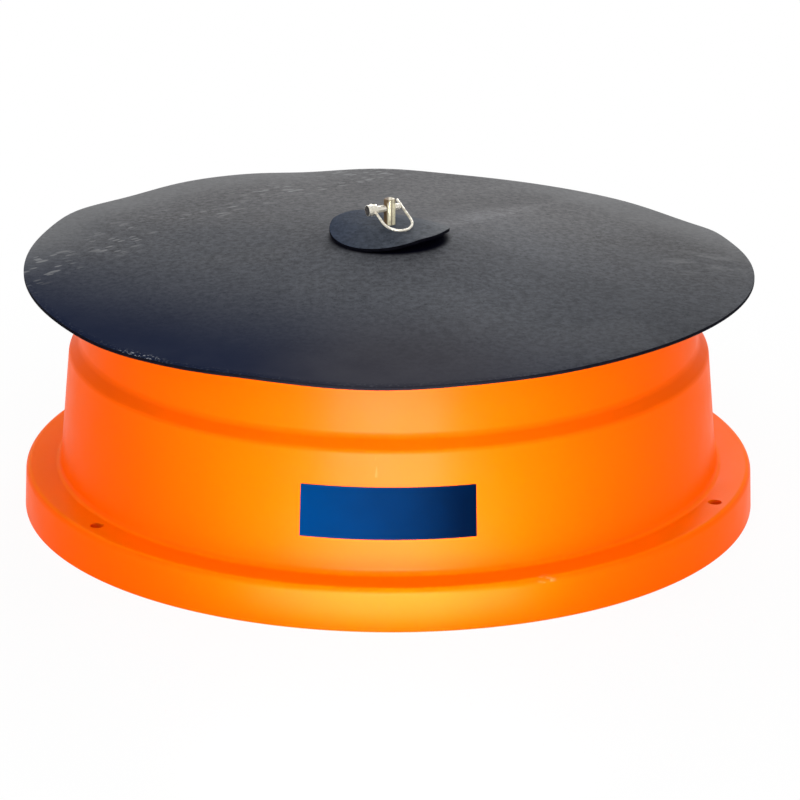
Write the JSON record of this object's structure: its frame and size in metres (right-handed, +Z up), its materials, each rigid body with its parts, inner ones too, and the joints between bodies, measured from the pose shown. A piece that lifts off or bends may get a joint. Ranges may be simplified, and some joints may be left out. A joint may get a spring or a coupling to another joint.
{
  "type": "livestock mineral feeder",
  "caption": "Round moulded mineral feeder with a foot flange, an inner pan and a rubber lid that turns on a pinned centre stud and bends up at the front.",
  "frame": {"origin": "on the ground at the centre of the tub's foot flange", "axes": "+Z up along the lid stud, -Y toward the front panel, +X to the right seen from the front"},
  "size_m": [1.0159, 1.016, 0.4274],
  "materials": {
    "tub_plastic": "satin rotomoulded polyethylene",
    "pan_plastic": "satin rotomoulded polyethylene",
    "zinc_steel": "zinc plated",
    "yellow_zinc": "yellow zinc plated steel",
    "bright_steel": "bright zinc",
    "lid_rubber": "matt sheet rubber",
    "cap_rubber": "matt sheet rubber",
    "panel_blue": "printed vinyl"
  },
  "bodies": {
    "base": {"base_tub": "tub_plastic", "mineral_pan": "pan_plastic", "pan_divider_right": "pan_plastic", "pan_divider_left": "pan_plastic", "pan_divider_front": "pan_plastic", "centre_pedestal": "pan_plastic", "pan_bolts": "zinc_steel", "pan_washers": "zinc_steel", "pan_nuts": "zinc_steel", "pedestal_bolts": "zinc_steel", "pedestal_washers": "zinc_steel", "pedestal_nuts": "zinc_steel", "lid_stud": "yellow_zinc", "fender_washer": "zinc_steel", "lock_washer": "zinc_steel", "stud_washer": "zinc_steel", "stud_nut": "yellow_zinc", "lid_support_plate": "zinc_steel", "cap_washer": "cap_rubber", "front_panel": "panel_blue"},
    "lid": {"rubber_lid": "lid_rubber"},
    "flap": {"rubber_lid_flap": "lid_rubber"},
    "pin": {"snap_pin": "bright_steel"},
    "bail": {"snap_pin_bail": "bright_steel"}
  },
  "joints": [
    {"name": "lid_spin", "type": "hinge", "parent": "base", "child": "lid", "pos_m": [0, 0, 0.3843], "axis": [0, 0, 1], "continuous": true},
    {"name": "flap_lift", "type": "hinge", "parent": "lid", "child": "flap", "pos_m": [0, -0.096, 0.3711], "axis": [-1, 0, 0], "range_deg": [0, 45]},
    {"name": "pin_roll", "type": "hinge", "parent": "base", "child": "pin", "pos_m": [0, 0, 0.41435], "axis": [-0.8829, -0.4695, 0], "range_deg": [0, 95]},
    {"name": "bail_snap", "type": "hinge", "parent": "pin", "child": "bail", "pos_m": [-0.0214, -0.01138, 0.41435], "axis": [0.4305, -0.8097, -0.3987], "range_deg": [0, 170]}
  ]
}
